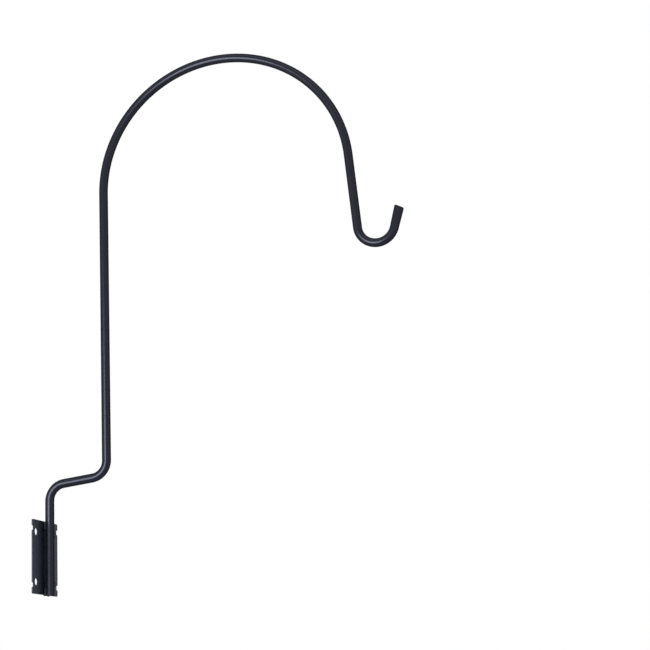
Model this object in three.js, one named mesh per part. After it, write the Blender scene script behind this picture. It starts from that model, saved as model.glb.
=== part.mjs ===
// A plant hook for the side of a rail: one bent steel rod welded to a flat screw plate.
// Millimetres. +X runs out from the rail along the hook's reach, +Y along the rail, +Z up.
// The origin is the middle of the plate's back face, the face that lies against the rail.
import * as THREE from 'three';

// Rod: one round bar. It climbs the plate, steps outwards, climbs again and arches over to the hook.
const ROD_DIAMETER = 9.5;
const FOOT_PAST_PLATE = 1;
const STEM_ABOVE_PLATE = 21;
const STEP_BEND_RADIUS = 17.5;
const STEP_RUN = 32.5;
const STEP_RISE_ANGLE = THREE.MathUtils.degToRad(6);
const POST_LENGTH = 290;
const ARCH_RADIUS = 136.5;
const DROP_LENGTH = 80;
const DROP_SLANT_ANGLE = THREE.MathUtils.degToRad(4.5);
const HOOK_RADIUS = 19.75;
const TIP_LENGTH = 22.5;
const TIP_LEAN_ANGLE = THREE.MathUtils.degToRad(16);

// Rod ends: the foot is cut square, and the tip is pressed a little flat and cut on a slight skew.
const TIP_FLAT_LENGTH = 24;
const TIP_WIDTH = 10;
const TIP_THICKNESS = 7.8;
const TIP_SQUARENESS = 3.2;
const TIP_SKEW_ANGLE = THREE.MathUtils.degToRad(9);
const END_CHAMFER = 0.5;

// Plate: flat sheet steel with four screw holes and a strap notch beside each hole.
const PLATE_HEIGHT = 76;
const PLATE_WIDTH = 63.5;
const PLATE_THICKNESS = 1.5;
const PLATE_CORNER_RADIUS = 2;
const HOLE_DIAMETER = 7.5;
const HOLE_FROM_SIDE = 9.2;
const HOLE_FROM_END = 12.4;
const NOTCH_HEIGHT = 4.8;
const NOTCH_DEPTH = 2.8;
const NOTCH_CORNER_RADIUS = 1.1;
const NOTCH_FROM_END = 9;

// Weld: one short fillet on each side of the rod at the plate's top edge and at the rod's foot.
const WELD_LENGTH = 9;
const WELD_LEG = 3.4;
const WELD_CROWN = 0.45;
const WELD_END_TAPER = 3;
const WELD_FROM_TOP = 0.4;
const WELD_PAST_FOOT = 0.4;
const WELD_ROOT_SHARE = 0.5;
const WELD_END_LEG_SHARE = 0.35;

// Room between pieces that touch on the real hook.
const SEAT_GAP = 0.3;

// How finely round forms are divided.
const ROD_SIDES = 24;
const STEP_BEND_STEPS = 12;
const ARCH_STEPS = 56;
const HOOK_STEPS = 28;
const TIP_STEPS = 6;
const PLATE_CURVE_STEPS = 12;
const WELD_FACE_STEPS = 4;
const WELD_TAPER_STEPS = 4;

const ROD_RADIUS = ROD_DIAMETER / 2;
const QUARTER_TURN = Math.PI / 2;

/** A bent bar's centre line in the upright plane of the hook: straight runs and tangent bends in turn. */
class CentreLine {
  constructor(x, z, heading) {
    this.x = x;
    this.z = z;
    this.heading = heading;
    this.travel = 0;
    this.stations = [];
    this.mark();
  }

  mark() {
    this.stations.push({ x: this.x, z: this.z, heading: this.heading, travel: this.travel });
  }

  /** Runs straight on, in as many equal pieces as steps says. */
  straight(length, steps = 1) {
    for (let i = 0; i < steps; i++) {
      this.x += (length / steps) * Math.cos(this.heading);
      this.z += (length / steps) * Math.sin(this.heading);
      this.travel += length / steps;
      this.mark();
    }
  }

  /** Turns on a true arc: a positive turn goes anticlockwise, with +X to the right and +Z up. */
  bend(radius, turn, steps) {
    const side = Math.sign(turn);
    const centreX = this.x - side * radius * Math.sin(this.heading);
    const centreZ = this.z + side * radius * Math.cos(this.heading);
    for (let i = 0; i < steps; i++) {
      this.heading += turn / steps;
      this.x = centreX + side * radius * Math.sin(this.heading);
      this.z = centreZ - side * radius * Math.cos(this.heading);
      this.travel += (radius * Math.abs(turn)) / steps;
      this.mark();
    }
  }
}

/** A closed solid through rings of equally many points, with a flat fan over the first ring and the last. */
function loftGeometry(rings) {
  const around = rings[0].length;
  const points = rings.flat();
  const faces = [];
  for (let r = 0; r + 1 < rings.length; r++) {
    for (let i = 0; i < around; i++) {
      const j = (i + 1) % around;
      const a = r * around + i;
      const b = r * around + j;
      const c = (r + 1) * around + j;
      const d = (r + 1) * around + i;
      faces.push(a, b, c, a, c, d);
    }
  }
  const last = (rings.length - 1) * around;
  for (let i = 1; i + 1 < around; i++) {
    faces.push(0, i + 1, i);
    faces.push(last, last + i, last + i + 1);
  }
  const geometry = new THREE.BufferGeometry();
  geometry.setFromPoints(points);
  geometry.setIndex(faces);
  geometry.computeVertexNormals();
  return geometry;
}

/** The whole rod's centre line, from the foot just past the plate's bottom edge to the hook's tip. */
function rodCentreLine() {
  const quarterLessRise = QUARTER_TURN - STEP_RISE_ANGLE;
  const footLevel = -PLATE_HEIGHT / 2 - FOOT_PAST_PLATE;
  const line = new CentreLine(PLATE_THICKNESS + SEAT_GAP + ROD_RADIUS, footLevel, QUARTER_TURN);
  line.straight(END_CHAMFER);
  line.straight(FOOT_PAST_PLATE + PLATE_HEIGHT + STEM_ABOVE_PLATE - END_CHAMFER);
  line.bend(STEP_BEND_RADIUS, -quarterLessRise, STEP_BEND_STEPS);
  line.straight(STEP_RUN);
  line.bend(STEP_BEND_RADIUS, quarterLessRise, STEP_BEND_STEPS);
  line.straight(POST_LENGTH);
  line.bend(ARCH_RADIUS, DROP_SLANT_ANGLE - Math.PI, ARCH_STEPS);
  line.straight(DROP_LENGTH);
  line.bend(HOOK_RADIUS, Math.PI - DROP_SLANT_ANGLE - TIP_LEAN_ANGLE, HOOK_STEPS);
  line.straight(TIP_LENGTH - END_CHAMFER, TIP_STEPS);
  line.straight(END_CHAMFER);
  return line;
}

/** One coordinate of a superellipse: power 2 gives a circle, and more gives flatter sides. */
function superellipse(cosOrSin, half, power) {
  return half * Math.sign(cosOrSin) * Math.abs(cosOrSin) ** (2 / power);
}

/** The rod's outline at one station, round along its length and pressed flat towards the tip. */
function rodRing(station, total) {
  const toTip = total - station.travel;
  const flat = THREE.MathUtils.smoothstep(TIP_FLAT_LENGTH - toTip, 0, TIP_FLAT_LENGTH);
  const atEnd = station.travel === 0 || toTip < END_CHAMFER / 2;
  const ease = atEnd ? END_CHAMFER : 0;
  const halfWidth = THREE.MathUtils.lerp(ROD_DIAMETER, TIP_WIDTH, flat) / 2 - ease;
  const halfThickness = THREE.MathUtils.lerp(ROD_DIAMETER, TIP_THICKNESS, flat) / 2 - ease;
  const power = THREE.MathUtils.lerp(2, TIP_SQUARENESS, flat);
  const skew = toTip < END_CHAMFER * 2 ? Math.tan(TIP_SKEW_ANGLE) : 0;
  const ahead = { x: Math.cos(station.heading), z: Math.sin(station.heading) };
  const ring = [];
  for (let i = 0; i < ROD_SIDES; i++) {
    const angle = (i / ROD_SIDES) * Math.PI * 2;
    const across = superellipse(Math.sin(angle), halfWidth, power);
    const y = superellipse(Math.cos(angle), halfThickness, power);
    const x = station.x - across * ahead.z + across * skew * ahead.x;
    const z = station.z + across * ahead.x + across * skew * ahead.z;
    ring.push(new THREE.Vector3(x, y, z));
  }
  return ring;
}

function rodGeometry() {
  const line = rodCentreLine();
  return loftGeometry(line.stations.map((station) => rodRing(station, line.travel)));
}

/** Cuts a round-cornered notch into a plate outline that runs up (+1) or down (-1) the edge at x. */
function traceNotch(outline, x, middle, run) {
  const inwards = -Math.sign(x);
  const floor = x + inwards * NOTCH_DEPTH;
  const start = middle - (run * NOTCH_HEIGHT) / 2;
  const end = middle + (run * NOTCH_HEIGHT) / 2;
  outline.lineTo(x, start);
  outline.lineTo(floor - inwards * NOTCH_CORNER_RADIUS, start);
  outline.quadraticCurveTo(floor, start, floor, start + run * NOTCH_CORNER_RADIUS);
  outline.lineTo(floor, end - run * NOTCH_CORNER_RADIUS);
  outline.quadraticCurveTo(floor, end, floor - inwards * NOTCH_CORNER_RADIUS, end);
  outline.lineTo(x, end);
}

/** The plate seen from its front, drawn anticlockwise from the lower left: x along the rail, y up. */
function plateOutline() {
  const side = PLATE_WIDTH / 2;
  const top = PLATE_HEIGHT / 2;
  const r = PLATE_CORNER_RADIUS;
  const notch = top - NOTCH_FROM_END;
  const outline = new THREE.Shape();
  outline.moveTo(-side + r, -top);
  outline.lineTo(side - r, -top);
  outline.absarc(side - r, -top + r, r, -QUARTER_TURN, 0, false);
  traceNotch(outline, side, -notch, 1);
  traceNotch(outline, side, notch, 1);
  outline.lineTo(side, top - r);
  outline.absarc(side - r, top - r, r, 0, QUARTER_TURN, false);
  outline.lineTo(-side + r, top);
  outline.absarc(-side + r, top - r, r, QUARTER_TURN, Math.PI, false);
  traceNotch(outline, -side, notch, -1);
  traceNotch(outline, -side, -notch, -1);
  outline.lineTo(-side, -top + r);
  outline.absarc(-side + r, -top + r, r, Math.PI, Math.PI + QUARTER_TURN, false);
  return outline;
}

/** The flat plate, in its own frame: x along the rail, y up and z out through its thickness. */
function plateGeometry() {
  const outline = plateOutline();
  const holeSide = PLATE_WIDTH / 2 - HOLE_FROM_SIDE;
  const holeTop = PLATE_HEIGHT / 2 - HOLE_FROM_END;
  for (const side of [-1, 1]) {
    for (const end of [-1, 1]) {
      const hole = new THREE.Path();
      hole.absarc(side * holeSide, end * holeTop, HOLE_DIAMETER / 2, 0, Math.PI * 2, true);
      outline.holes.push(hole);
    }
  }
  return new THREE.ExtrudeGeometry(outline, {
    depth: PLATE_THICKNESS,
    bevelEnabled: false,
    curveSegments: PLATE_CURVE_STEPS,
  });
}

/**
 * A fillet's section beside the rod: x out from the plate's back, and y away from the rod's upright plane.
 * It rests on the plate, leans on the rod's round side and has a crowned face between its two toes.
 */
function weldSection(leg) {
  const reach = ROD_RADIUS + SEAT_GAP;
  const rodX = PLATE_THICKNESS + SEAT_GAP + ROD_RADIUS;
  const seatX = PLATE_THICKNESS + SEAT_GAP;
  const rootY = reach * WELD_ROOT_SHARE;
  const onRod = (angle) => new THREE.Vector2(rodX - reach * Math.cos(angle), reach * Math.sin(angle));
  const rootAngle = Math.asin(WELD_ROOT_SHARE);
  const toeAngle = Math.acos((rodX - seatX - leg) / reach);
  const plateToe = new THREE.Vector2(seatX, rootY + leg);
  const rodToe = onRod(toeAngle);
  const middle = plateToe.clone().add(rodToe).multiplyScalar(0.5);
  const outwards = new THREE.Vector2(rodToe.y - plateToe.y, plateToe.x - rodToe.x).normalize().negate();
  const crown = middle.addScaledVector(outwards, 2 * WELD_CROWN * (leg / WELD_LEG));
  const face = new THREE.QuadraticBezierCurve(plateToe, crown, rodToe);
  const points = [new THREE.Vector2(seatX, rootY), ...face.getPoints(WELD_FACE_STEPS)];
  for (let i = 1; i <= WELD_FACE_STEPS; i++) {
    points.push(onRod(THREE.MathUtils.lerp(toeAngle, rootAngle, i / WELD_FACE_STEPS)));
  }
  return points;
}

/** One fillet on one side of the rod, from bottom to top, drawn in to a small rounded end at both. */
function weldGeometry(side, bottom, top) {
  const levels = [];
  for (let i = 0; i <= WELD_TAPER_STEPS; i++) {
    const turn = (i / WELD_TAPER_STEPS) * QUARTER_TURN;
    const share = THREE.MathUtils.lerp(WELD_END_LEG_SHARE, 1, Math.sin(turn));
    levels.push({ rise: WELD_END_TAPER * (1 - Math.cos(turn)), leg: WELD_LEG * share });
  }
  const lower = levels.map(({ rise, leg }) => ({ z: bottom + rise, leg }));
  const upper = levels.map(({ rise, leg }) => ({ z: top - rise, leg })).reverse();
  const rings = [...lower, ...upper].map(({ z, leg }) => {
    const ring = weldSection(leg).map((point) => new THREE.Vector3(point.x, side * point.y, z));
    return side > 0 ? ring.reverse() : ring;
  });
  return loftGeometry(rings);
}

/** A named piece with the satin black coating that all of the hook has. */
function piece(name, geometry, roughness) {
  const coating = new THREE.MeshStandardMaterial({ color: 0x1a1a20, roughness, metalness: 0.1 });
  const mesh = new THREE.Mesh(geometry, coating);
  mesh.name = name;
  return mesh;
}

const hook = new THREE.Group();
hook.name = 'rail_mount_plant_hook';

const plate = piece('mounting_plate', plateGeometry(), 0.42);
const alongRail = new THREE.Vector3(0, 1, 0);
const upwards = new THREE.Vector3(0, 0, 1);
const outFromRail = new THREE.Vector3(1, 0, 0);
plate.quaternion.setFromRotationMatrix(new THREE.Matrix4().makeBasis(alongRail, upwards, outFromRail));
hook.add(plate);

hook.add(piece('hook_rod', rodGeometry(), 0.4));

const welds = new THREE.Group();
const weldTop = PLATE_HEIGHT / 2 - WELD_FROM_TOP;
const weldFoot = -PLATE_HEIGHT / 2 - FOOT_PAST_PLATE - WELD_PAST_FOOT;
const weldEnds = [
  { place: 'upper', bottom: weldTop - WELD_LENGTH, top: weldTop },
  { place: 'lower', bottom: weldFoot, top: weldFoot + WELD_LENGTH },
];
const weldSides = [
  { hand: 'left', side: -1 },
  { hand: 'right', side: 1 },
];
for (const { place, bottom, top } of weldEnds) {
  for (const { hand, side } of weldSides) {
    welds.add(piece(`${place}_${hand}_weld`, weldGeometry(side, bottom, top), 0.5));
  }
}
hook.add(welds);

export default hook;
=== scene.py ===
"""Dresses a rail mount plant hook: a bent steel rod welded to a screw plate, in satin black powder coat.

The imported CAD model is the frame. Everything here is in metres, in the same frame: +X out from the rail,
+Y along the rail, +Z up, with the origin in the middle of the plate's back face.
"""

from __future__ import annotations

import logging
import math
from dataclasses import dataclass
from enum import Enum

import bpy
from bpy.types import ID, Curve, Material, Mesh, Node, NodeOutputs, NodeSocket, NodeTree, Object
from mathutils import Matrix, Vector

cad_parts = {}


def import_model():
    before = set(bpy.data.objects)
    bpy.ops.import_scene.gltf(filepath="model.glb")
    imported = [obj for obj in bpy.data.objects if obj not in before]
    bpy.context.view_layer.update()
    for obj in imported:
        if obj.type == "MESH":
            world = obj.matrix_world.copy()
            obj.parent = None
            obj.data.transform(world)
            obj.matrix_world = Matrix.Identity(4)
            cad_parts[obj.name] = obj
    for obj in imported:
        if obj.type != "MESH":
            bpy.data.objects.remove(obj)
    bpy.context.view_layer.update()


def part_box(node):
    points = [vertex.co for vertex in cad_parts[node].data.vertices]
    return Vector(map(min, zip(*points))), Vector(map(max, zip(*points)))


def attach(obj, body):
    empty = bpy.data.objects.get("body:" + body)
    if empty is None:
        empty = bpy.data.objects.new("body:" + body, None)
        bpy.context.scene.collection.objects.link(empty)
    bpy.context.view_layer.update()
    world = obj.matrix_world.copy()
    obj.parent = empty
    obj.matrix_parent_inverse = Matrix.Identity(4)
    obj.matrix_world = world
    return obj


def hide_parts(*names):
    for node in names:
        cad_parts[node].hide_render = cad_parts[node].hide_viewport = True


LOG = logging.getLogger("plant_hook")
BODY = "root"
MM = 0.001
ALONG_RAIL = Vector((0.0, 1.0, 0.0))
UPWARDS = Vector((0.0, 0.0, 1.0))

# The sides of a bar and of a drop have no more corners than this, and an end cap has more.
SIDE_CORNERS = 4

# The dressed pieces lie this far inside their solids.
FINISH_INSET = 0.03 * MM

# The point that the camera looks at.
LOOK_AT = Vector((0.3102, 0.0, 0.2187))

# The order is upper left, upper right, lower left, lower right.
WELD_SEEDS = (11, 23, 37, 41)

# What the line of a sweep carries, taken off the finished mesh.
SWEEP_NOTES = ("travel", "to_tip", "bend", "centre", "ahead")

# A Mix node's sockets: its factor, its two numbers, its two colours, and its colour result.
MIX_FACTOR = 0
MIX_NUMBERS = (2, 3)
MIX_COLOURS = (6, 7)
MIX_COLOUR_RESULT = 2

# A Compare node's two whole numbers.
COMPARE_NUMBERS = (2, 3)

# A Random Value node's sockets by its data type: its two limits and its result.
RANDOM_SOCKETS = {"FLOAT_VECTOR": (0, 1, 0), "FLOAT": (2, 3, 1)}

# The vector operations that result in a number.
NUMBER_OPERATIONS = ("DOT_PRODUCT", "DISTANCE")

# A noise's middle value, and the stretch that most of its values lie in.
NOISE_MIDDLE = 0.5
NOISE_LOW = 0.3
NOISE_HIGH = 0.7


class Hand(Enum):
    """The side of the rod that a weld is on, seen from the reach side: the value is its sign along Y."""

    LEFT = -1
    RIGHT = 1


class Level(Enum):
    """The end of the plate that a weld is at."""

    UPPER = "upper"
    LOWER = "lower"


# Node trees


class Graph:
    """Adds nodes to one tree and joins them, so that a tree reads as a list of steps."""

    def __init__(self, tree: NodeTree) -> None:
        """Keeps the tree that the steps go into."""
        self.tree = tree

    def node(
        self,
        kind: str,
        inputs: dict[str | int, object] | None = None,
        settings: dict[str, object] | None = None,
    ) -> Node:
        """Adds one node.

        Args:
            kind: The node's type name.
            inputs: A value or another node's output for each input, by the input's name or place.
            settings: The node's own options.

        Returns:
            The new node.
        """
        made = self.tree.nodes.new(kind)
        for name, value in (settings or {}).items():
            setattr(made, name, value)
        for key, value in (inputs or {}).items():
            if isinstance(value, NodeSocket):
                self.tree.links.new(value, made.inputs[key])
            else:
                made.inputs[key].default_value = value
        return made

    def math(self, operation: str, *values: object, clamp: bool = False) -> NodeSocket:
        """Adds a Math node for numbers.

        Args:
            operation: Blender's name of the operation.
            values: Its inputs, in order.
            clamp: Whether the result stays between 0 and 1.

        Returns:
            The result's socket.
        """
        kind = "ShaderNodeMath"
        made = self.node(kind, dict(enumerate(values)), {"operation": operation, "use_clamp": clamp})
        return made.outputs[0]

    def vector(self, operation: str, *values: object) -> NodeSocket:
        """Adds a Vector Math node.

        Args:
            operation: Blender's name of the operation.
            values: Its inputs, in order. The factor of SCALE comes second.

        Returns:
            The result's socket: a number for the number operations, and otherwise a vector.
        """
        inputs = dict(enumerate(values))
        if operation == "SCALE":
            inputs = {0: values[0], "Scale": values[1]}
        made = self.node("ShaderNodeVectorMath", inputs, {"operation": operation})
        return made.outputs["Value" if operation in NUMBER_OPERATIONS else "Vector"]

    def blend(self, share: object, start: object, end: object) -> NodeSocket:
        """Goes from one number to another: a share of 0 gives the start, and 1 the end."""
        inputs = {MIX_FACTOR: share, MIX_NUMBERS[0]: start, MIX_NUMBERS[1]: end}
        return self.node("ShaderNodeMix", inputs).outputs[0]

    def tint(self, share: object, start: object, end: object) -> NodeSocket:
        """Goes from one colour to another in the same way, each as four numbers or a socket."""
        inputs = {MIX_FACTOR: share, MIX_COLOURS[0]: start, MIX_COLOURS[1]: end}
        return self.node("ShaderNodeMix", inputs, {"data_type": "RGBA"}).outputs[MIX_COLOUR_RESULT]

    def smooth(self, value: object, low: object, high: object) -> NodeSocket:
        """Rises smoothly from 0 to 1 while a number goes from low to high."""
        inputs = {"Value": value, "From Min": low, "From Max": high}
        return self.node("ShaderNodeMapRange", inputs, {"interpolation_type": "SMOOTHSTEP"}).outputs[0]

    def named(self, attribute: str, data_type: str = "FLOAT") -> NodeSocket:
        """Reads an attribute of the geometry by its name, as a FLOAT or a FLOAT_VECTOR."""
        kind = "GeometryNodeInputNamedAttribute"
        return self.node(kind, {"Name": attribute}, {"data_type": data_type}).outputs["Attribute"]

    def drawn(self, data_type: str, low: NodeSocket, high: NodeSocket, seed: NodeSocket) -> NodeSocket:
        """Draws a random value between two limits.

        Args:
            data_type: FLOAT or FLOAT_VECTOR.
            low: The lower limit.
            high: The upper limit.
            seed: The seed.

        Returns:
            The value's socket.
        """
        low_place, high_place, result = RANDOM_SOCKETS[data_type]
        inputs = {low_place: low, high_place: high, "Seed": seed}
        return self.node("FunctionNodeRandomValue", inputs, {"data_type": data_type}).outputs[result]


def new_tree(name: str, kind: str, inputs: dict[str, str], outputs: dict[str, str]) -> Graph:
    """Makes an empty node group with its sockets.

    Args:
        name: The group's name.
        kind: GeometryNodeTree or ShaderNodeTree.
        inputs: Each input's name and socket type.
        outputs: Each output's name and socket type.

    Returns:
        The group, ready for nodes.
    """
    tree = bpy.data.node_groups.new(name, kind)
    for in_out, sockets in (("INPUT", inputs), ("OUTPUT", outputs)):
        for socket, socket_type in sockets.items():
            tree.interface.new_socket(socket, in_out=in_out, socket_type=socket_type)
    return Graph(tree)


def grown(name: str, base: Mesh, tree: NodeTree, values: dict[str, object]) -> Object:
    """Runs a Geometry Nodes tree on a mesh and keeps the result as a plain mesh.

    Args:
        name: The new piece's name.
        base: The mesh that the tree starts from.
        tree: The tree.
        values: A value for each of the tree's named inputs.

    Returns:
        The new piece, which has no modifier.
    """
    source = linked(f"{name}_base", base)
    modifier = source.modifiers.new("shape", "NODES")
    modifier.node_group = tree
    sockets = {
        item.name: item.identifier
        for item in tree.interface.items_tree
        if item.item_type == "SOCKET" and item.in_out == "INPUT"
    }
    for key, value in values.items():
        modifier[sockets[key]] = value
    mesh = settled(source)
    for note in SWEEP_NOTES:
        mesh.attributes.remove(mesh.attributes[note])
    mesh.name = name
    return linked(name, mesh)


def settled(source: Object) -> Mesh:
    """Keeps what an object and its modifiers make, and removes the object.

    Args:
        source: The object.

    Returns:
        The result, as a plain mesh.
    """
    graph = bpy.context.evaluated_depsgraph_get()
    mesh = bpy.data.meshes.new_from_object(source.evaluated_get(graph), depsgraph=graph)
    source.modifiers.clear()
    bpy.data.objects.remove(source)
    return mesh


def linked(name: str, data: ID) -> Object:
    """Makes an object at the origin and puts it in the scene.

    Args:
        name: The object's name.
        data: Its mesh, curve, light or camera.

    Returns:
        The object.
    """
    made = bpy.data.objects.new(name, data)
    bpy.context.scene.collection.objects.link(made)
    return made


def dressed(piece: Object, slot: str, *nodes: str) -> Object:
    """Joins a piece to the frame: it rides on the one body and stands for its CAD nodes.

    Args:
        piece: The piece, in place.
        slot: Not used.
        nodes: The CAD nodes that it replaces.

    Returns:
        The same piece.
    """
    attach(piece, BODY)
    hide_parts(*nodes)
    piece.data.calc_loop_triangles()
    LOG.info("%s: %d triangles, for %s", piece.name, len(piece.data.loop_triangles), ", ".join(nodes))
    return piece


# Finishes


@dataclass(frozen=True)
class PowderGrain:
    """The relief and the cloudiness of a baked powder coat, which every coat here shares."""

    peel_detail: float = 1.0
    grit_detail: float = 2.0
    cloud_detail: float = 3.0
    evenness: float = 0.5
    grit_in_gloss: float = 0.5
    cloud_in_gloss: float = 0.5

    def group(self) -> NodeTree:
        """Builds the group.

        Returns:
            A group that turns object coordinates into a height, a shade and a gloss mask.
        """
        numbers = ["Peel Scale", "Grit Scale", "Cloud Scale", "Grit Share"]
        graph = new_tree(
            "powder_grain",
            "ShaderNodeTree",
            {"Vector": "NodeSocketVector"} | {name: "NodeSocketFloat" for name in numbers},
            {"Height": "NodeSocketFloat", "Shade": "NodeSocketFloat", "Gloss": "NodeSocketFloat"},
        )
        given = graph.node("NodeGroupInput").outputs
        peel, grit, cloud = (
            self._noise(graph, given["Vector"], given[scale], detail)
            for scale, detail in (
                ("Peel Scale", self.peel_detail),
                ("Grit Scale", self.grit_detail),
                ("Cloud Scale", self.cloud_detail),
            )
        )
        height = graph.blend(given["Grit Share"], peel, grit)
        shade = graph.smooth(cloud, NOISE_LOW, NOISE_HIGH)
        cloudy = graph.math("MULTIPLY", cloud, self.cloud_in_gloss)
        gloss = graph.math("MULTIPLY_ADD", grit, self.grit_in_gloss, cloudy)
        graph.node("NodeGroupOutput", {"Height": height, "Shade": shade, "Gloss": gloss})
        return graph.tree

    def _noise(self, graph: Graph, place: NodeSocket, scale: NodeSocket, detail: float) -> NodeSocket:
        """Adds an even noise, read at a place: scale makes it finer, and detail lays more over it."""
        inputs = {"Vector": place, "Scale": scale, "Detail": detail, "Roughness": self.evenness}
        return graph.node("ShaderNodeTexNoise", inputs).outputs[0]


@dataclass(frozen=True)
class RubMarks:
    """The sparse dull scuffs that packing and handling leave on a coat: short streaks, grouped in patches."""

    streak_squeeze: tuple[float, float, float] = (1.0, 1.0, 0.22)
    streak_sway: float = 0.02
    streak_times_finer: float = 6.0
    streak_detail: float = 4.0
    streak_from: float = 0.58
    streak_full: float = 0.7
    patch_from: float = 0.55
    patch_full: float = 0.75

    def group(self) -> NodeTree:
        """Builds the group.

        Returns:
            A group that turns object coordinates into a mask of scuffs.
        """
        graph = new_tree(
            "rub_marks",
            "ShaderNodeTree",
            {"Vector": "NodeSocketVector", "Scale": "NodeSocketFloat", "Amount": "NodeSocketFloat"},
            {"Mask": "NodeSocketFloat"},
        )
        given = graph.node("NodeGroupInput").outputs
        broad = graph.node("ShaderNodeTexNoise", {"Vector": given["Vector"], "Scale": given["Scale"]}).outputs
        squeezed = graph.vector("MULTIPLY", given["Vector"], self.streak_squeeze)
        swayed = graph.vector("MULTIPLY_ADD", broad["Color"], (self.streak_sway,) * 3, squeezed)
        scale = graph.math("MULTIPLY", given["Scale"], self.streak_times_finer)
        inputs = {"Vector": swayed, "Scale": scale, "Detail": self.streak_detail}
        fine = graph.node("ShaderNodeTexNoise", inputs).outputs[0]
        streaks = graph.smooth(fine, self.streak_from, self.streak_full)
        patches = graph.smooth(broad[0], self.patch_from, self.patch_full)
        marks = graph.math("MULTIPLY", streaks, patches)
        graph.node("NodeGroupOutput", {"Mask": graph.math("MULTIPLY", marks, given["Amount"], clamp=True)})
        return graph.tree


@dataclass(frozen=True)
class PowderCoat:
    """A satin black powder coat, with its colour, gloss and relief on one kind of surface.

    Its fine grain dulls it where it is seen at a slant, so that a bar's rims stay dark before a pale wall.
    Below the sheltered top, where the plate screens the rod from the spray, the powder lies rougher.
    Both gloss fields and everything that is added to them are roughnesses.
    """

    name: str
    colour: tuple[float, float, float]
    cloud_colour: tuple[float, float, float]
    scuff_colour: tuple[float, float, float]
    gloss_low: float
    gloss_high: float
    peel_scale: float
    grit_scale: float
    grit_share: float
    relief: float
    scuff_amount: float
    slant_roughness: float = 1.0
    slant_start: float = 0.15
    slant_full: float = 0.5
    slant_measure: float = 0.5
    sheltered_top: float = 0.0
    sheltered_ease: float = 8 * MM
    sheltered_dulling: float = 0.0
    cloud_scale: float = 45.0
    scuff_scale: float = 30.0
    scuff_dulling: float = 0.12
    ior: float = 1.5
    specular: float = 0.3
    specular_tint: tuple[float, float, float] = (0.8, 0.84, 1.0)

    def material(self, grain: NodeTree, rub: NodeTree) -> Material:
        """Builds the material.

        Args:
            grain: The shared powder grain group.
            rub: The shared rub marks group.

        Returns:
            The material.
        """
        made = bpy.data.materials.new(self.name)
        made.use_nodes = True
        made.node_tree.nodes.clear()
        graph = Graph(made.node_tree)
        place = graph.node("ShaderNodeTexCoord").outputs["Object"]
        grains = {
            "Vector": place,
            "Peel Scale": self.peel_scale,
            "Grit Scale": self.grit_scale,
            "Cloud Scale": self.cloud_scale,
            "Grit Share": self.grit_share,
        }
        marks = {"Vector": place, "Scale": self.scuff_scale, "Amount": self.scuff_amount}
        coat = graph.node("ShaderNodeGroup", grains, {"node_tree": grain}).outputs
        scuff = graph.node("ShaderNodeGroup", marks, {"node_tree": rub}).outputs["Mask"]
        clouded = graph.tint(coat["Shade"], (*self.colour, 1.0), (*self.cloud_colour, 1.0))
        scuffed = graph.tint(scuff, clouded, (*self.scuff_colour, 1.0))
        relief = {"Height": coat["Height"], "Strength": 1.0, "Distance": self.relief}
        shader = graph.node(
            "ShaderNodeBsdfPrincipled",
            {
                "Base Color": scuffed,
                "Roughness": self._roughness(graph, place, coat["Gloss"], scuff),
                "Metallic": 0.0,
                "IOR": self.ior,
                "Specular IOR Level": self.specular,
                "Specular Tint": (*self.specular_tint, 1.0),
                "Normal": graph.node("ShaderNodeBump", relief).outputs[0],
            },
        )
        graph.node("ShaderNodeOutputMaterial", {"Surface": shader.outputs[0]})
        return made

    def _roughness(
        self,
        graph: Graph,
        place: NodeSocket,
        gloss: NodeSocket,
        scuff: NodeSocket,
    ) -> NodeSocket:
        """Works out how rough the coat is.

        Args:
            graph: The material's tree.
            place: The object coordinates.
            gloss: The grain's gloss mask.
            scuff: The mask of scuffs.

        Returns:
            The roughness: uneven, higher on scuffs and in the plate's shelter, and highest at a slant.
        """
        stretch = {"From Min": NOISE_LOW, "From Max": NOISE_HIGH}
        levels = {"To Min": self.gloss_low, "To Max": self.gloss_high}
        uneven = graph.node("ShaderNodeMapRange", {"Value": gloss} | stretch | levels).outputs[0]
        scuffed = graph.math("MULTIPLY_ADD", scuff, self.scuff_dulling, uneven, clamp=True)
        height = graph.node("ShaderNodeSeparateXYZ", {"Vector": place}).outputs["Z"]
        shelter = graph.smooth(height, self.sheltered_top, self.sheltered_top - self.sheltered_ease)
        sheltered = graph.math("MULTIPLY_ADD", shelter, self.sheltered_dulling, scuffed, clamp=True)
        facing = graph.node("ShaderNodeLayerWeight", {"Blend": self.slant_measure}).outputs["Facing"]
        slanted = graph.smooth(facing, self.slant_start, self.slant_full)
        return graph.blend(slanted, sheltered, self.slant_roughness)


ROD_COAT = PowderCoat(
    name="rod_powder_coat",
    colour=(0.0016, 0.0019, 0.0055),
    cloud_colour=(0.0026, 0.003, 0.0075),
    scuff_colour=(0.012, 0.012, 0.016),
    gloss_low=0.2,
    gloss_high=0.27,
    peel_scale=620.0,
    grit_scale=2600.0,
    grit_share=0.3,
    relief=0.03 * MM,
    scuff_amount=0.5,
    slant_full=0.36,
    sheltered_top=38 * MM,
    sheltered_dulling=0.25,
    specular=0.34,
)
PLATE_COAT = PowderCoat(
    name="plate_powder_coat",
    colour=(0.003, 0.007, 0.015),
    cloud_colour=(0.0045, 0.0095, 0.019),
    scuff_colour=(0.014, 0.017, 0.024),
    gloss_low=0.28,
    gloss_high=0.36,
    peel_scale=480.0,
    grit_scale=2200.0,
    grit_share=0.3,
    relief=0.035 * MM,
    scuff_amount=0.7,
    slant_roughness=0.55,
    slant_start=0.3,
    slant_full=0.7,
)
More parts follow.
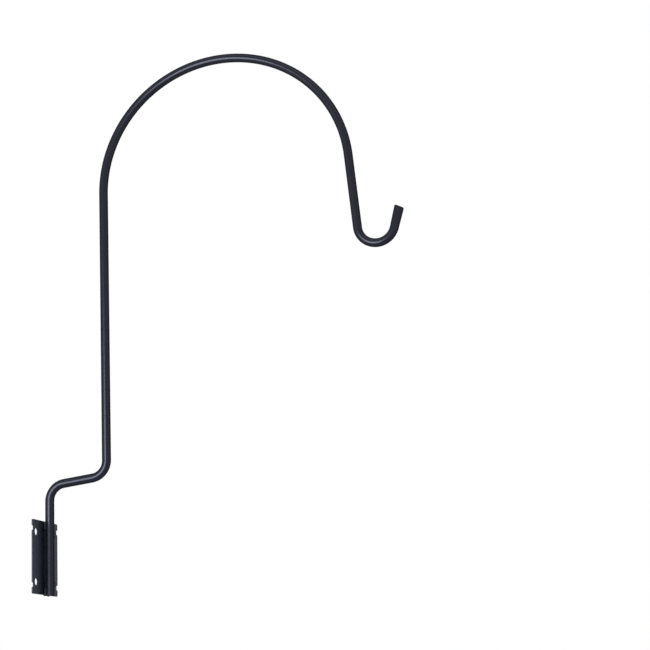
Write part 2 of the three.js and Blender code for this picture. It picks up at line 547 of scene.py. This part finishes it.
WELD_COAT = PowderCoat(
    name="weld_powder_coat",
    colour=(0.0016, 0.0022, 0.0055),
    cloud_colour=(0.0026, 0.0034, 0.0075),
    scuff_colour=(0.012, 0.012, 0.016),
    gloss_low=0.26,
    gloss_high=0.36,
    peel_scale=900.0,
    grit_scale=3200.0,
    grit_share=0.45,
    relief=0.03 * MM,
    scuff_amount=0.3,
)


# The bent rod


# A tight bend flattens the bar in its first part out of this many, and lets it go in the last.
EASE_PARTS = 4.0

# The shares of the flattening that the bar's half width gains in the plane of the bend, and across it.
GAIN_IN_PLANE = -0.5
GAIN_ACROSS = 0.25

# A superellipse of this power is a circle or a plain ellipse.
ROUND_POWER = 2.0


@dataclass(frozen=True)
class Station:
    """One place on a centre line, with the way ahead and how tightly the bar is bent there."""

    centre: Vector
    ahead: Vector
    travel: float
    bend: float = 0.0


class CentreLine:
    """A centre line in the hook's upright plane: straight runs and tangent bends in turn."""

    def __init__(self, x: float, z: float, heading: float, longest_step: float) -> None:
        """Starts the line.

        Args:
            x: The start's distance out from the rail.
            z: The start's height.
            heading: The way ahead, as an angle from +X towards +Z.
            longest_step: The most that two stations lie apart.
        """
        self.x = x
        self.z = z
        self.heading = heading
        self.longest_step = longest_step
        self.travel = 0.0
        self.stations: list[Station] = []
        self._mark(0.0)

    def _mark(self, bend: float) -> None:
        """Keeps the present place as a station."""
        ahead = Vector((math.cos(self.heading), 0.0, math.sin(self.heading)))
        self.stations.append(Station(Vector((self.x, 0.0, self.z)), ahead, self.travel, bend))

    def straight(self, length: float, steps: int = 0) -> None:
        """Runs straight on.

        Args:
            length: How far.
            steps: In how many steps, or 0 for as many as the longest step needs.
        """
        count = steps or math.ceil(length / self.longest_step)
        for _ in range(count):
            self.x += length / count * math.cos(self.heading)
            self.z += length / count * math.sin(self.heading)
            self.travel += length / count
            self._mark(0.0)

    def bend(self, radius: float, turn: float, tight: bool) -> None:
        """Turns on a true arc.

        Args:
            radius: The arc's radius.
            turn: The angle, positive when it goes from +X towards +Z.
            tight: Whether the bar is flattened a little by the bend.
        """
        side = math.copysign(1.0, turn)
        centre_x = self.x - side * radius * math.sin(self.heading)
        centre_z = self.z + side * radius * math.cos(self.heading)
        count = math.ceil(radius * abs(turn) / self.longest_step)
        for i in range(1, count + 1):
            self.heading += turn / count
            self.x = centre_x + side * radius * math.sin(self.heading)
            self.z = centre_z - side * radius * math.cos(self.heading)
            self.travel += radius * abs(turn) / count
            self._mark(min(1.0, EASE_PARTS * min(i, count - i) / count) if tight else 0.0)


def line_mesh(name: str, stations: list[Station]) -> Mesh:
    """Makes a mesh of edges through the stations, which carries what a sweep needs as attributes.

    Args:
        name: The mesh's name.
        stations: The stations, in order.

    Returns:
        The mesh.
    """
    mesh = bpy.data.meshes.new(name)
    edges = [(i, i + 1) for i in range(len(stations) - 1)]
    mesh.from_pydata([station.centre for station in stations], edges, [])
    total = stations[-1].travel
    numbers = {
        "travel": [station.travel for station in stations],
        "to_tip": [total - station.travel for station in stations],
        "bend": [station.bend for station in stations],
    }
    vectors = {
        "centre": [station.centre for station in stations],
        "ahead": [station.ahead for station in stations],
    }
    for key, values in numbers.items():
        mesh.attributes.new(key, "FLOAT", "POINT").data.foreach_set("value", values)
    for key, values in vectors.items():
        flat = [number for value in values for number in value]
        mesh.attributes.new(key, "FLOAT_VECTOR", "POINT").data.foreach_set("vector", flat)
    return mesh


@dataclass
class BentRod:
    """The round bar: stem, step, post, arch, drop and hook, with a square foot and a tip pressed flat."""

    coat: Material
    name: str = "bent_rod"
    node: str = "hook_rod"
    plate_node: str = "mounting_plate"
    slot: str = "rod_coating"
    stem_above_plate: float = 21 * MM
    step_bend_radius: float = 17.5 * MM
    step_run: float = 32.5 * MM
    step_rise: float = math.radians(6)
    post_length: float = 290 * MM
    arch_radius: float = 136.5 * MM
    drop_length: float = 80 * MM
    drop_slant: float = math.radians(4.5)
    hook_radius: float = 19.75 * MM
    tip_length: float = 22.5 * MM
    tip_lean: float = math.radians(16)
    tip_flat_length: float = 24 * MM
    tip_width: float = 10 * MM
    tip_thickness: float = 7.8 * MM
    tip_squareness: float = 3.2
    tip_skew: float = math.radians(9)
    skew_length: float = 5 * MM
    foot_round: float = 0.5 * MM
    tip_round: float = 0.5 * MM
    bend_flattening: float = 0.3 * MM
    longest_step: float = 2 * MM
    end_steps: int = 8
    sides: int = 64

    def build(self) -> Object:
        """Makes the rod and dresses it.

        Returns:
            The finished piece.
        """
        low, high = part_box(self.node)
        radius = (high.y - low.y) / 2
        sizes = {
            "Radius": radius - FINISH_INSET,
            "Foot Round": self.foot_round,
            "Tip Round": self.tip_round,
            "Tip Half Width": self.tip_width / 2 - FINISH_INSET,
            "Tip Half Thickness": self.tip_thickness / 2 - FINISH_INSET,
            "Tip Squareness": self.tip_squareness,
            "Tip Flat Length": self.tip_flat_length,
            "Tip Skew": math.tan(self.tip_skew),
            "Skew Length": self.skew_length,
            "Bend Flattening": self.bend_flattening,
        }
        line = self._centre_line(low.x + radius, low.z)
        tree = self._sweep_tree(list(sizes))
        rod = grown(
            self.name,
            line_mesh(self.name, line.stations),
            tree,
            sizes | {"Sides": self.sides, "Finish": self.coat},
        )
        return dressed(rod, self.slot, self.node)

    def _centre_line(self, foot_x: float, foot_z: float) -> CentreLine:
        """Walks the rod from its foot to its tip.

        Args:
            foot_x: The foot's distance out from the rail.
            foot_z: The foot's height.

        Returns:
            The centre line, with short steps at both rounded ends.
        """
        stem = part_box(self.plate_node)[1].z - foot_z + self.stem_above_plate
        quarter = math.pi / 2
        line = CentreLine(foot_x, foot_z, quarter, self.longest_step)
        line.straight(self.foot_round, self.end_steps)
        line.straight(stem - self.foot_round)
        line.bend(self.step_bend_radius, self.step_rise - quarter, tight=True)
        line.straight(self.step_run)
        line.bend(self.step_bend_radius, quarter - self.step_rise, tight=True)
        line.straight(self.post_length)
        line.bend(self.arch_radius, self.drop_slant - math.pi, tight=False)
        line.straight(self.drop_length)
        line.bend(self.hook_radius, math.pi - self.drop_slant - self.tip_lean, tight=True)
        line.straight(self.tip_length - self.tip_round)
        line.straight(self.tip_round, self.end_steps)
        return line

    @staticmethod
    def _sweep_tree(sizes: list[str]) -> NodeTree:
        """Builds the sweep: a round bar along the line, eased at its ends and pressed flat at its tip.

        Args:
            sizes: The names of the tree's number inputs.

        Returns:
            The tree.
        """
        graph = new_tree(
            "bent_bar_sweep",
            "GeometryNodeTree",
            {"Geometry": "NodeSocketGeometry"}
            | {name: "NodeSocketFloat" for name in sizes}
            | {"Sides": "NodeSocketInt", "Finish": "NodeSocketMaterial"},
            {"Geometry": "NodeSocketGeometry"},
        )
        given = graph.node("NodeGroupInput").outputs
        bar = swept_circle(graph, given, "Radius")
        centre = graph.named("centre", "FLOAT_VECTOR")
        ahead = graph.named("ahead", "FLOAT_VECTOR")
        to_tip = graph.named("to_tip")
        inward = graph.vector("CROSS_PRODUCT", ahead, ALONG_RAIL)
        place = graph.node("GeometryNodeInputPosition").outputs[0]
        offset = graph.vector("NORMALIZE", graph.vector("SUBTRACT", place, centre))

        flat = graph.smooth(to_tip, given["Tip Flat Length"], 0.0)
        foot_inset = end_inset(graph, graph.named("travel"), given["Foot Round"])
        inset = graph.math("ADD", foot_inset, end_inset(graph, to_tip, given["Tip Round"]))
        pressed = graph.math("MULTIPLY", graph.named("bend"), given["Bend Flattening"])
        width = graph.blend(flat, given["Radius"], given["Tip Half Width"])
        width = graph.math("MULTIPLY_ADD", pressed, GAIN_IN_PLANE, width)
        thickness = graph.blend(flat, given["Radius"], given["Tip Half Thickness"])
        thickness = graph.math("MULTIPLY_ADD", pressed, GAIN_ACROSS, thickness)
        squareness = graph.blend(flat, ROUND_POWER, given["Tip Squareness"])
        power = graph.math("DIVIDE", ROUND_POWER, squareness)

        def squared(direction: object, half: NodeSocket) -> NodeSocket:
            """Works out one coordinate of the bar's outline, round or squared by the power.

            Args:
                direction: The way that the coordinate goes.
                half: Half the bar's size that way.

            Returns:
                The coordinate's socket.
            """
            unit = graph.vector("DOT_PRODUCT", offset, direction)
            size = graph.math("POWER", graph.math("ABSOLUTE", unit), power)
            signed = graph.math("MULTIPLY", graph.math("SIGN", unit), size)
            return graph.math("MULTIPLY", signed, graph.math("SUBTRACT", half, inset))

        across = squared(inward, width)
        aside = squared(ALONG_RAIL, thickness)
        slanted = graph.math("MULTIPLY", graph.smooth(to_tip, given["Skew Length"], 0.0), given["Tip Skew"])
        along = graph.math("MULTIPLY", across, slanted)
        moved = graph.vector("ADD", centre, graph.vector("SCALE", inward, across))
        moved = graph.vector("ADD", moved, graph.vector("SCALE", ALONG_RAIL, aside))
        moved = graph.vector("ADD", moved, graph.vector("SCALE", ahead, along))
        shaped = graph.node("GeometryNodeSetPosition", {"Geometry": bar, "Position": moved}).outputs[0]
        end_tree(graph, shaped, given["Finish"])
        return graph.tree


def swept_circle(graph: Graph, given: NodeOutputs, radius: str) -> NodeSocket:
    """Sweeps a circle along the line that a tree is given.

    Args:
        graph: The tree.
        given: The tree's inputs.
        radius: The name of the input that holds the circle's radius.

    Returns:
        The tube, closed at both ends.
    """
    line = graph.node("GeometryNodeMeshToCurve", {"Mesh": given["Geometry"]}).outputs[0]
    ring = {"Resolution": given["Sides"], "Radius": given[radius]}
    circle = graph.node("GeometryNodeCurvePrimitiveCircle", ring).outputs[0]
    swept = {"Curve": line, "Profile Curve": circle, "Fill Caps": True}
    return graph.node("GeometryNodeCurveToMesh", swept).outputs[0]


def dome(graph: Graph, distance: NodeSocket, length: NodeSocket) -> NodeSocket:
    """Rises like a quarter circle, from 0 at no distance from an end to 1 at a length from it."""
    near = graph.math("SUBTRACT", 1.0, graph.math("DIVIDE", distance, length), clamp=True)
    return graph.math("SQRT", graph.math("SUBTRACT", 1.0, graph.math("MULTIPLY", near, near)))


def end_inset(graph: Graph, distance: NodeSocket, rounding: NodeSocket) -> NodeSocket:
    """Works out how far a bar's skin draws in at a distance from its end, for an end of that rounding."""
    return graph.math("MULTIPLY", rounding, graph.math("SUBTRACT", 1.0, dome(graph, distance, rounding)))


def end_tree(graph: Graph, shape: NodeSocket, finish: NodeSocket) -> None:
    """Ends a Geometry Nodes tree: smooth sides and flat end caps, real geometry and its material.

    Args:
        graph: The tree.
        shape: The finished shape.
        finish: The material's socket.
    """
    corners = graph.node("GeometryNodeInputMeshFaceNeighbors").outputs["Vertex Count"]
    compared = {COMPARE_NUMBERS[0]: corners, COMPARE_NUMBERS[1]: SIDE_CORNERS}
    more = {"data_type": "INT", "operation": "GREATER_THAN"}
    cap = graph.node("FunctionNodeCompare", compared, more).outputs[0]
    smooth = graph.node("GeometryNodeSetShadeSmooth", {"Geometry": shape, "Shade Smooth": True}).outputs[0]
    flat = {"Geometry": smooth, "Selection": cap, "Shade Smooth": False}
    shaded = graph.node("GeometryNodeSetShadeSmooth", flat).outputs[0]
    real = graph.node("GeometryNodeRealizeInstances", {"Geometry": shaded}).outputs[0]
    painted = graph.node("GeometryNodeSetMaterial", {"Geometry": real, "Material": finish}).outputs[0]
    graph.node("NodeGroupOutput", {"Geometry": painted})


# The screw plate


@dataclass
class ScrewPlate:
    """The flat stamped plate, with four screw holes and a strap notch in the edge beside each."""

    coat: Material
    name: str = "screw_plate"
    node: str = "mounting_plate"
    slot: str = "plate_coating"
    corner_radius: float = 2 * MM
    hole_diameter: float = 7.5 * MM
    hole_from_side: float = 9.2 * MM
    hole_from_end: float = 12.4 * MM
    notch_height: float = 4.8 * MM
    notch_depth: float = 2.8 * MM
    notch_radius: float = 1.1 * MM
    notch_lip_radius: float = 0.5 * MM
    notch_from_end: float = 9 * MM
    edge_round: float = 0.22 * MM
    edge_steps: int = 4
    arc_steps: int = 12
    hole_steps: int = 72
    flat_face_weight: int = 100

    def build(self) -> Object:
        """Makes the plate and dresses it.

        Returns:
            The finished piece.
        """
        low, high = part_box(self.node)
        side = (high.y - low.y) / 2 - FINISH_INSET
        top = (high.z - low.z) / 2 - FINISH_INSET
        thickness = high.x - low.x - 2 * FINISH_INSET
        curve = bpy.data.curves.new(self.name, "CURVE")
        curve.dimensions = "2D"
        curve.fill_mode = "BOTH"
        curve.extrude = thickness / 2 - self.edge_round
        curve.bevel_depth = self.edge_round
        curve.bevel_resolution = self.edge_steps
        curve.offset = -self.edge_round
        self._add_loop(curve, self._outline(side, top))
        for across in (-1, 1):
            for up in (-1, 1):
                middle = Vector((across * (side - self.hole_from_side), up * (top - self.hole_from_end)))
                self._add_loop(curve, self._hole(middle))
        plate = self._solid(curve, (low.x + high.x) / 2, (low.z + high.z) / 2)
        return dressed(plate, self.slot, self.node)

    def _solid(self, curve: Curve, middle_x: float, middle_z: float) -> Object:
        """Turns the flat curve into the upright plate.

        Args:
            curve: The plate's outline and holes.
            middle_x: The middle of the plate's thickness.
            middle_z: The middle of its height.

        Returns:
            The plate as a mesh in its place, with shading that keeps its faces flat.
        """
        flat = settled(linked(f"{self.name}_drawing", curve))
        upright = Matrix(((0, 0, 1, middle_x), (1, 0, 0, 0), (0, 1, 0, middle_z), (0, 0, 0, 1)))
        flat.transform(upright)
        flat.shade_smooth()
        rough = linked(f"{self.name}_rough", flat)
        rough.modifiers.new("flat_faces", "WEIGHTED_NORMAL").weight = self.flat_face_weight
        mesh = settled(rough)
        mesh.name = self.name
        mesh.materials.clear()
        mesh.materials.append(self.coat)
        return linked(self.name, mesh)

    @staticmethod
    def _add_loop(curve: Curve, points: list[Vector]) -> None:
        """Adds one closed loop of straight stretches to the curve.

        Args:
            curve: The plate's drawing.
            points: The loop's corners, in order.
        """
        loop = curve.splines.new("POLY")
        loop.points.add(len(points) - 1)
        loop.points.foreach_set("co", [number for x, y in points for number in (x, y, 0.0, 1.0)])
        loop.use_cyclic_u = True

    def _hole(self, middle: Vector) -> list[Vector]:
        """Returns the points of one round hole."""
        return self._arc(middle, self.hole_diameter / 2, 0.0, 2 * math.pi, self.hole_steps)[:-1]

    @staticmethod
    def _arc(middle: Vector, radius: float, start: float, turn: float, steps: int) -> list[Vector]:
        """Returns one point more than the steps, along an arc that turns anticlockwise from its start."""
        angles = [start + turn * i / steps for i in range(steps + 1)]
        return [middle + radius * Vector((math.cos(angle), math.sin(angle))) for angle in angles]

    def _outline(self, side: float, top: float) -> list[Vector]:
        """Draws the plate's outline, seen from its front.

        Args:
            side: Half the plate's width.
            top: Half its height.

        Returns:
            The points, anticlockwise: one upright edge with its notches, and the same turned half round.
        """
        quarter = math.pi / 2
        r = self.corner_radius
        half = self._arc(Vector((side - r, -top + r)), r, -quarter, quarter, self.arc_steps)
        for level in (-1, 1):
            half += self._notch(side, level * (top - self.notch_from_end))
        half += self._arc(Vector((side - r, top - r)), r, 0.0, quarter, self.arc_steps)
        return half + [-point for point in half]

    def _notch(self, edge: float, middle: float) -> list[Vector]:
        """Draws one notch in the right-hand edge, from below to above.

        Args:
            edge: The edge's distance from the plate's middle.
            middle: The height of the notch's middle.

        Returns:
            The points.
        """
        quarter = math.pi / 2
        r = self.notch_radius
        lip = self.notch_lip_radius
        floor = edge - self.notch_depth + r
        half = self.notch_height / 2
        turns = (
            (Vector((edge - lip, middle - half - lip)), lip, 0.0, quarter),
            (Vector((floor, middle - half + r)), r, -quarter, -quarter),
            (Vector((floor, middle + half - r)), r, 2 * quarter, -quarter),
            (Vector((edge - lip, middle + half + lip)), lip, -quarter, quarter),
        )
        return [point for turn in turns for point in self._arc(*turn, self.arc_steps)]


# The welds


# A bead's noise: how far apart two seeds lie in it, how fine it is, and its finer layers.
SEED_STRIDE = 0.37
WOBBLE_SCALE = 420.0
WOBBLE_DETAIL = 2.0

# A bead's ends keep this share of its thickness.
LEAST_TAPER = 0.04

DROP_SUBDIVISIONS = 3


@dataclass
class WeldBead:
    """One short rippled fillet between the rod and the plate, with a few drops of spatter beside it."""

    coat: Material
    level: Level
    hand: Hand
    seed: int
    slot: str = "weld_coating"
    rod_node: str = "hook_rod"
    plate_node: str = "mounting_plate"
    half_height: float = 2.2 * MM
    half_width: float = 1.7 * MM
    rise_share: float = 0.52
    aside_share: float = 0.9
    ripple_pitch: float = 1.9 * MM
    ripple_height: float = 0.28 * MM
    ripple_lag: float = 0.8 * MM
    unevenness: float = 0.3 * MM
    end_taper: float = 2.4 * MM
    step: float = 0.16 * MM
    sides: int = 40
    drops: int = 6
    drop_smallest: float = 0.18 * MM
    drop_largest: float = 0.42 * MM
    drop_spread: float = 5.5 * MM

    def build(self) -> Object:
        """Makes the weld and dresses it.

        Returns:
            The finished piece.
        """
        node = f"{self.level.value}_{self.hand.name.lower()}_weld"
        low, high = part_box(node)
        rod_low, rod_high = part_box(self.rod_node)
        rod_radius = (rod_high.y - rod_low.y) / 2
        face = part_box(self.plate_node)[1].x
        aside = self.hand.value * rod_radius * self.aside_share
        foot = Vector((face + self.half_height * self.rise_share, aside, low.z + FINISH_INSET))
        length = high.z - low.z - 2 * FINISH_INSET
        toe = aside + self.hand.value * self.half_width
        far = toe + self.hand.value * self.drop_spread
        sizes = {
            "Half Height": self.half_height,
            "Half Width": self.half_width,
            "Ripple Pitch": self.ripple_pitch,
            "Ripple Height": self.ripple_height,
            "Ripple Lag": self.ripple_lag,
            "Unevenness": self.unevenness,
            "End Taper": self.end_taper,
            "Drop Smallest": self.drop_smallest,
            "Drop Largest": self.drop_largest,
            "Hand": float(self.hand.value),
        }
        room = self._drop_room(face, min(toe, far), max(toe, far), low.z, high.z)
        counts = {"Seed": self.seed, "Sides": self.sides, "Drops": self.drops}
        bead = grown(
            node.replace("_weld", "_bead"),
            line_mesh(node, self._stations(foot, length)),
            self._bead_tree(list(sizes), list(counts)),
            sizes | counts | room | {"Finish": self.coat},
        )
        return dressed(bead, self.slot, node)

    def _drop_room(self, face: float, near: float, far: float, low: float, high: float) -> dict[str, Vector]:
        """Works out the stretch of plate that spatter lands on.

        Args:
            face: The distance of the plate's front face out from the rail.
            near: The stretch's least place along the rail.
            far: Its greatest place along the rail.
            low: The weld's foot.
            high: The weld's top.

        Returns:
            The stretch's two corners, as tree inputs.
        """
        plate_low, plate_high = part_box(self.plate_node)
        edge = 2 * self.drop_largest
        bottom = max(low, plate_low.z + edge)
        top = min(high, plate_high.z - edge)
        return {"Drop Low": Vector((face, near, bottom)), "Drop High": Vector((face, far, top))}

    def _stations(self, foot: Vector, length: float) -> list[Station]:
        """Returns the stations of the bead's upright line.

        Args:
            foot: Its lowest point.
            length: Its length.

        Returns:
            The stations, in order.
        """
        count = math.ceil(length / self.step)
        travels = [length * i / count for i in range(count + 1)]
        return [Station(foot + travel * UPWARDS, UPWARDS, travel) for travel in travels]

    @staticmethod
    def _bead_tree(sizes: list[str], counts: list[str]) -> NodeTree:
        """Builds the bead: an oval sweep with scalloped ripples, and drops strewn on the plate beside it.

        Args:
            sizes: The names of the tree's number inputs.
            counts: The names of its whole-number inputs.

        Returns:
            The tree.
        """
        graph = new_tree(
            "weld_bead_sweep",
            "GeometryNodeTree",
            {"Geometry": "NodeSocketGeometry"}
            | {name: "NodeSocketFloat" for name in sizes}
            | {name: "NodeSocketInt" for name in counts}
            | {"Drop Low": "NodeSocketVector", "Drop High": "NodeSocketVector"}
            | {"Finish": "NodeSocketMaterial"},
            {"Geometry": "NodeSocketGeometry"},
        )
        given = graph.node("NodeGroupInput").outputs
        tube = swept_circle(graph, given, "Half Width")
        centre = graph.named("centre", "FLOAT_VECTOR")
        travel = graph.named("travel")
        place = graph.node("GeometryNodeInputPosition").outputs[0]
        way = graph.vector("NORMALIZE", graph.vector("SUBTRACT", place, centre))
        seed = graph.math("MULTIPLY", given["Seed"], SEED_STRIDE)
        outwards = graph.node("ShaderNodeCombineXYZ", {"X": 1.0, "Y": given["Hand"]}).outputs[0]
        facing = graph.vector("DOT_PRODUCT", way, graph.vector("NORMALIZE", outwards))

        wobble = {"Vector": place, "W": seed, "Scale": WOBBLE_SCALE, "Detail": WOBBLE_DETAIL}
        noise = graph.node("ShaderNodeTexNoise", wobble, {"noise_dimensions": "4D"}).outputs[0]
        rough = graph.math("MULTIPLY", graph.math("SUBTRACT", noise, NOISE_MIDDLE), given["Unevenness"])

        lag = graph.math("MULTIPLY_ADD", facing, given["Ripple Lag"], travel)
        lag = graph.math("MULTIPLY_ADD", noise, given["Ripple Pitch"], lag)
        phase = graph.math("MULTIPLY", graph.math("DIVIDE", lag, given["Ripple Pitch"]), math.pi)
        scallop = graph.math("ABSOLUTE", graph.math("SINE", phase))
        ripple = graph.math("MULTIPLY", graph.math("SUBTRACT", scallop, 1.0), given["Ripple Height"])
        relief = graph.math("ADD", ripple, rough)

        nearest = graph.math("MINIMUM", travel, graph.named("to_tip"))
        taper = graph.math("MAXIMUM", dome(graph, nearest, given["End Taper"]), LEAST_TAPER)
        oval = graph.node(
            "ShaderNodeCombineXYZ",
            {
                "X": graph.math("MULTIPLY", graph.math("ADD", given["Half Height"], relief), taper),
                "Y": graph.math("MULTIPLY", graph.math("ADD", given["Half Width"], relief), taper),
            },
        ).outputs[0]
        moved = graph.vector("MULTIPLY_ADD", way, oval, centre)
        bead = graph.node("GeometryNodeSetPosition", {"Geometry": tube, "Position": moved}).outputs[0]

        landing = graph.drawn("FLOAT_VECTOR", given["Drop Low"], given["Drop High"], given["Seed"])
        points = graph.node("GeometryNodePoints", {"Count": given["Drops"], "Position": landing}).outputs[0]
        sphere = {"Radius": 1.0, "Subdivisions": DROP_SUBDIVISIONS}
        ball = graph.node("GeometryNodeMeshIcoSphere", sphere).outputs[0]
        scale = graph.drawn("FLOAT", given["Drop Smallest"], given["Drop Largest"], given["Seed"])
        placed = {"Points": points, "Instance": ball, "Scale": scale}
        drops = graph.node("GeometryNodeInstanceOnPoints", placed).outputs[0]
        joined = graph.node("GeometryNodeJoinGeometry")
        for part in (drops, bead):
            graph.tree.links.new(part, joined.inputs[0])
        end_tree(graph, joined.outputs[0], given["Finish"])
        return graph.tree


# The studio


@dataclass(frozen=True)
class Softbox:
    """A soft rectangular lamp."""

    name: str
    place: tuple[float, float, float]
    aim: tuple[float, float, float]
    width: float
    height: float
    radiance: float
    colour: tuple[float, float, float]

    def build(self) -> Object:
        """Makes the lamp, which lights the object but isn't seen itself.

        Returns:
            The lamp.
        """
        lamp = bpy.data.lights.new(self.name, "AREA")
        lamp.shape = "RECTANGLE"
        lamp.size = self.width
        lamp.size_y = self.height
        lamp.color = self.colour
        lamp.energy = self.radiance * math.pi * self.width * self.height
        made = linked(self.name, lamp)
        away = Vector(self.place) - Vector(self.aim)
        made.matrix_world = Matrix.Translation(self.place) @ away.to_track_quat("Z", "Y").to_matrix().to_4x4()
        made.visible_camera = False
        return made


@dataclass
class Studio:
    """The camera, the lamps, the white surroundings and the pale floor."""

    target: Vector
    azimuth: float = math.radians(13.70)
    elevation: float = math.radians(-13.03)
    roll: float = math.radians(-2.40)
    distance: float = 1.7
    lens: float = 91.93
    sensor: float = 36.0
    ambient: float = 0.2
    floor_drop: float = 0.26
    floor_near: float = 0.5
    floor_far: float = 1.7
    floor_lift: float = 0.5
    floor_colour: tuple[float, float, float] = (0.8, 0.8, 0.8)

    def build(self, lamps: list[Softbox]) -> None:
        """Sets up everything around the object.

        Args:
            lamps: The lamps.
        """
        self._camera()
        self._world()
        self._floor()
        for lamp in lamps:
            lamp.build()
        LOG.info("studio: camera, surroundings, floor and %d lamps", len(lamps))

    def _camera(self) -> None:
        """Makes the camera at the photograph's viewing angle."""
        camera = bpy.data.cameras.new("studio_camera")
        camera.lens = self.lens
        camera.sensor_width = self.sensor
        made = linked("studio_camera", camera)
        sin_a, cos_a = math.sin(self.azimuth), math.cos(self.azimuth)
        sin_e, cos_e = math.sin(self.elevation), math.cos(self.elevation)
        back = Vector((sin_a * cos_e, -cos_a * cos_e, sin_e))
        right = Vector((cos_a, sin_a, 0.0))
        turned = Matrix.Rotation(self.roll, 4, "Z")
        axes = Matrix((right, back.cross(right), back)).transposed().to_4x4()
        made.matrix_world = Matrix.Translation(self.target + self.distance * back) @ axes @ turned
        bpy.context.scene.camera = made

    def _world(self) -> None:
        """Makes white surroundings that light the object no more than a plain room does."""
        world = bpy.data.worlds.new("white_surroundings")
        world.use_nodes = True
        world.node_tree.nodes.clear()
        graph = Graph(world.node_tree)
        strength = graph.blend(self._seen(graph), self.ambient, 1.0)
        inputs = {"Color": (1.0, 1.0, 1.0, 1.0), "Strength": strength}
        surroundings = graph.node("ShaderNodeBackground", inputs).outputs[0]
        graph.node("ShaderNodeOutputWorld", {"Surface": surroundings})
        bpy.context.scene.world = world

    @staticmethod
    def _seen(graph: Graph) -> NodeSocket:
        """Tells the rays that show the surroundings: to the camera, in gloss or through glass.

        Args:
            graph: The material's or the world's tree.

        Returns:
            A socket that is 1 for those rays.
        """
        ray = graph.node("ShaderNodeLightPath").outputs
        seen = graph.math("MAXIMUM", ray["Is Camera Ray"], ray["Is Glossy Ray"])
        return graph.math("MAXIMUM", seen, ray["Is Transmission Ray"])

    def _floor(self) -> None:
        """Makes a pale floor that keeps the shadow, fades out far away and is clear from below."""
        mesh = bpy.data.meshes.new("pale_floor")
        reach = self.floor_far
        corners = [(-reach, -reach), (reach, -reach), (reach, reach), (-reach, reach)]
        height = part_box("lower_left_weld")[0].z - self.floor_drop
        points = [(self.target.x + x, self.target.y + y, height) for x, y in corners]
        mesh.from_pydata(points, [], [(0, 1, 2, 3)])
        floor = linked("pale_floor", mesh)
        mesh.materials.append(self._floor_finish())

    def _floor_finish(self) -> Material:
        """Builds the floor's material.

        Returns:
            The material.
        """
        made = bpy.data.materials.new("pale_floor_paint")
        made.use_nodes = True
        made.node_tree.nodes.clear()
        graph = Graph(made.node_tree)
        place = graph.node("ShaderNodeTexCoord").outputs["Object"]
        level = graph.vector("MULTIPLY", place, (1.0, 1.0, 0.0))
        away = graph.vector("DISTANCE", level, (self.target.x, self.target.y, 0.0))
        fade = graph.smooth(away, self.floor_near, self.floor_far)
        below = graph.node("ShaderNodeNewGeometry").outputs["Backfacing"]
        clear = graph.math("MAXIMUM", fade, below)
        paint = graph.node("ShaderNodeBsdfDiffuse", {"Color": (*self.floor_colour, 1.0)}).outputs[0]
        white = graph.node("ShaderNodeEmission", {"Strength": 1.0}).outputs[0]
        lift = graph.math("MULTIPLY", self._seen(graph), self.floor_lift)
        pale = graph.node("ShaderNodeMixShader", {0: lift, 1: paint, 2: white}).outputs[0]
        glass = graph.node("ShaderNodeBsdfTransparent").outputs[0]
        mixed = graph.node("ShaderNodeMixShader", {0: clear, 1: pale, 2: glass}).outputs[0]
        graph.node("ShaderNodeOutputMaterial", {"Surface": mixed})
        return made


KEY = Softbox(
    name="key_softbox",
    place=(-0.20, -1.50, -0.07),
    aim=(0.15, 0.0, 0.25),
    width=0.95,
    height=1.15,
    radiance=9.6,
    colour=(0.92, 0.94, 1.0),
)
BACK = Softbox(
    name="back_softbox",
    place=(-0.9, 1.5, 0.45),
    aim=(0.15, 0.0, 0.25),
    width=0.8,
    height=1.0,
    radiance=7.0,
    colour=(1.0, 1.0, 1.0),
)
OVERHEAD = Softbox(
    name="overhead_softbox",
    place=(0.2, -0.2, 2.0),
    aim=(0.2, 0.0, 0.0),
    width=2.0,
    height=2.0,
    radiance=1.2,
    colour=(1.0, 1.0, 1.0),
)


def main() -> None:
    """Builds the hook's pieces around the frame, in a plain studio."""
    logging.basicConfig(level=logging.INFO, format="%(name)s: %(message)s")
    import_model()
    bpy.context.scene.view_settings.view_transform = "Standard"
    Studio(LOOK_AT).build([KEY, BACK, OVERHEAD])
    grain = PowderGrain().group()
    rub = RubMarks().group()
    BentRod(ROD_COAT.material(grain, rub)).build()
    ScrewPlate(PLATE_COAT.material(grain, rub)).build()
    weld_coat = WELD_COAT.material(grain, rub)
    corners = [(level, hand) for level in Level for hand in Hand]
    for (level, hand), seed in zip(corners, WELD_SEEDS):
        WeldBead(weld_coat, level, hand, seed).build()


if __name__ == "__main__":
    main()
